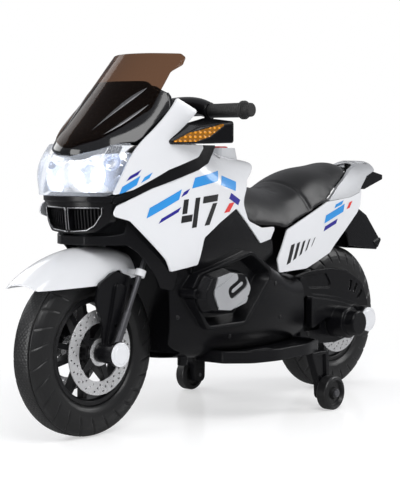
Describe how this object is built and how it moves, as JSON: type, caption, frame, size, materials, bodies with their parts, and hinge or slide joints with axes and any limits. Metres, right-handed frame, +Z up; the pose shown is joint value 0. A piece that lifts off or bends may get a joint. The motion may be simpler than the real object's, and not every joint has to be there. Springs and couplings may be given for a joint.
{
  "type": "kids electric motorbike",
  "caption": "Child's ride-on electric motorbike with fairing, smoked windshield, padded seat, steering fork, geared rear wheel, foot pedal and small training wheels.",
  "frame": {"origin": "on the ground under the middle of the bike's outer box", "axes": "+X forward along the bike, +Y to the rider's left, +Z up"},
  "size_m": [1.04, 0.42, 0.672],
  "materials": {
    "gloss_white": "gloss",
    "gloss_black": "gloss",
    "satin_black": "satin",
    "grain_black": "fine grain",
    "tyre_black": "matt",
    "rim_black": "satin",
    "disc_chrome": "bright",
    "rod_steel": "satin",
    "silver_plastic": "silver paint",
    "clear_lens": "clear",
    "smoke_shield": "smoked",
    "bright_reflector": "bright",
    "white_lamp": "gloss",
    "amber_lens": "gloss",
    "red_lens": "gloss",
    "grip_rubber": "matt",
    "seat_black": "fine grain",
    "console_grey": "satin",
    "switch_red": "gloss",
    "motor_metal": "satin",
    "battery_case": "satin"
  },
  "bodies": {
    "chassis": {"body_shell_left": "grain_black", "body_shell_right": "grain_black", "engine_covers": "satin_black", "engine_trims": "silver_plastic", "side_fairing_left": "gloss_white", "side_fairing_right": "gloss_white", "upper_fairing_left": "gloss_white", "upper_fairing_right": "gloss_white", "fairing_bands": "satin_black", "front_cowl": "gloss_black", "windshield": "smoke_shield", "headlight_lens": "clear_lens", "headlight_reflector": "bright_reflector", "headlight_lamps": "white_lamp", "grille_frame": "satin_black", "front_chin": "grain_black", "signal_pods": "satin_black", "signal_lenses": "amber_lens", "control_console": "console_grey", "seat": "seat_black", "grab_rail": "silver_plastic", "tail_panel_left": "gloss_white", "tail_panel_right": "gloss_white", "rear_mudguard": "grain_black", "tail_light_housing": "satin_black", "tail_light_lens": "red_lens", "rear_arm_left": "grain_black", "rear_arm_right": "grain_black", "rear_axle": "rod_steel", "rear_axle_caps": "gloss_white", "drive_motor": "motor_metal", "battery": "battery_case", "control_box": "battery_case", "footboard_left": "grain_black", "footboard_right": "grain_black", "training_brackets": "grain_black", "training_bolts": "rod_steel", "steering_head": "grain_black"},
    "steering": {"steering_stem": "grain_black", "fork_tubes": "rod_steel", "fork_legs": "grain_black", "front_fender": "gloss_white", "handlebar": "satin_black", "grips": "grip_rubber", "front_axle": "rod_steel", "front_axle_caps": "gloss_white"},
    "front_wheel": {"front_tyre": "tyre_black", "front_rim": "rim_black", "front_discs": "disc_chrome"},
    "rear_wheel": {"rear_tyre": "tyre_black", "rear_rim": "rim_black", "rear_disc": "disc_chrome", "drive_gear": "rim_black"},
    "motor_pinion": {"motor_pinion": "rod_steel"},
    "training_wheel_left": {"training_wheel_left": "tyre_black"},
    "training_wheel_right": {"training_wheel_right": "tyre_black"},
    "accelerator_pedal": {"accelerator_pedal": "satin_black"},
    "power_switch": {"power_switch": "switch_red"},
    "direction_switch": {"direction_switch": "satin_black"},
    "sound_button": {"sound_button": "switch_red"}
  },
  "joints": [
    {"name": "steering_turn", "type": "hinge", "parent": "chassis", "child": "steering", "pos_m": [0.37, 0, 0.15], "axis": [-0.4384, 0, 0.8988], "range_deg": [-20, 20]},
    {"name": "front_wheel_spin", "type": "hinge", "parent": "steering", "child": "front_wheel", "pos_m": [0.37, 0, 0.15], "axis": [0, 1, 0], "continuous": true},
    {"name": "rear_wheel_spin", "type": "hinge", "parent": "chassis", "child": "rear_wheel", "pos_m": [-0.345, 0, 0.15], "axis": [0, 1, 0], "continuous": true},
    {"name": "pinion_spin", "type": "hinge", "parent": "chassis", "child": "motor_pinion", "pos_m": [-0.2718, 0, 0.15], "axis": [0, 1, 0], "continuous": true},
    {"name": "training_left_spin", "type": "hinge", "parent": "chassis", "child": "training_wheel_left", "pos_m": [-0.116, 0.181, 0.033], "axis": [0, 1, 0], "continuous": true},
    {"name": "training_right_spin", "type": "hinge", "parent": "chassis", "child": "training_wheel_right", "pos_m": [-0.116, -0.181, 0.033], "axis": [0, 1, 0], "continuous": true},
    {"name": "accelerator_press", "type": "hinge", "parent": "chassis", "child": "accelerator_pedal", "pos_m": [0.025, -0.146, 0.133], "axis": [0, 1, 0], "range_deg": [0, 12], "stiffness_Nm_per_rad": 1, "springref_deg": -5.73},
    {"name": "power_rock", "type": "hinge", "parent": "chassis", "child": "power_switch", "pos_m": [0.015, 0.012, 0.504], "axis": [0, 1, 0], "range_deg": [-8, 8]},
    {"name": "direction_rock", "type": "hinge", "parent": "chassis", "child": "direction_switch", "pos_m": [0.015, -0.012, 0.504], "axis": [0, 1, 0], "range_deg": [-8, 8]},
    {"name": "sound_press", "type": "slide", "parent": "chassis", "child": "sound_button", "axis": [0, 0, -1], "range_m": [0, 0.002], "stiffness_N_per_m": 400, "springref_m": -0.001}
  ],
  "couplings": [
    {"joint": "pinion_spin", "follows": "rear_wheel_spin", "ratio": -4.6154}
  ]
}
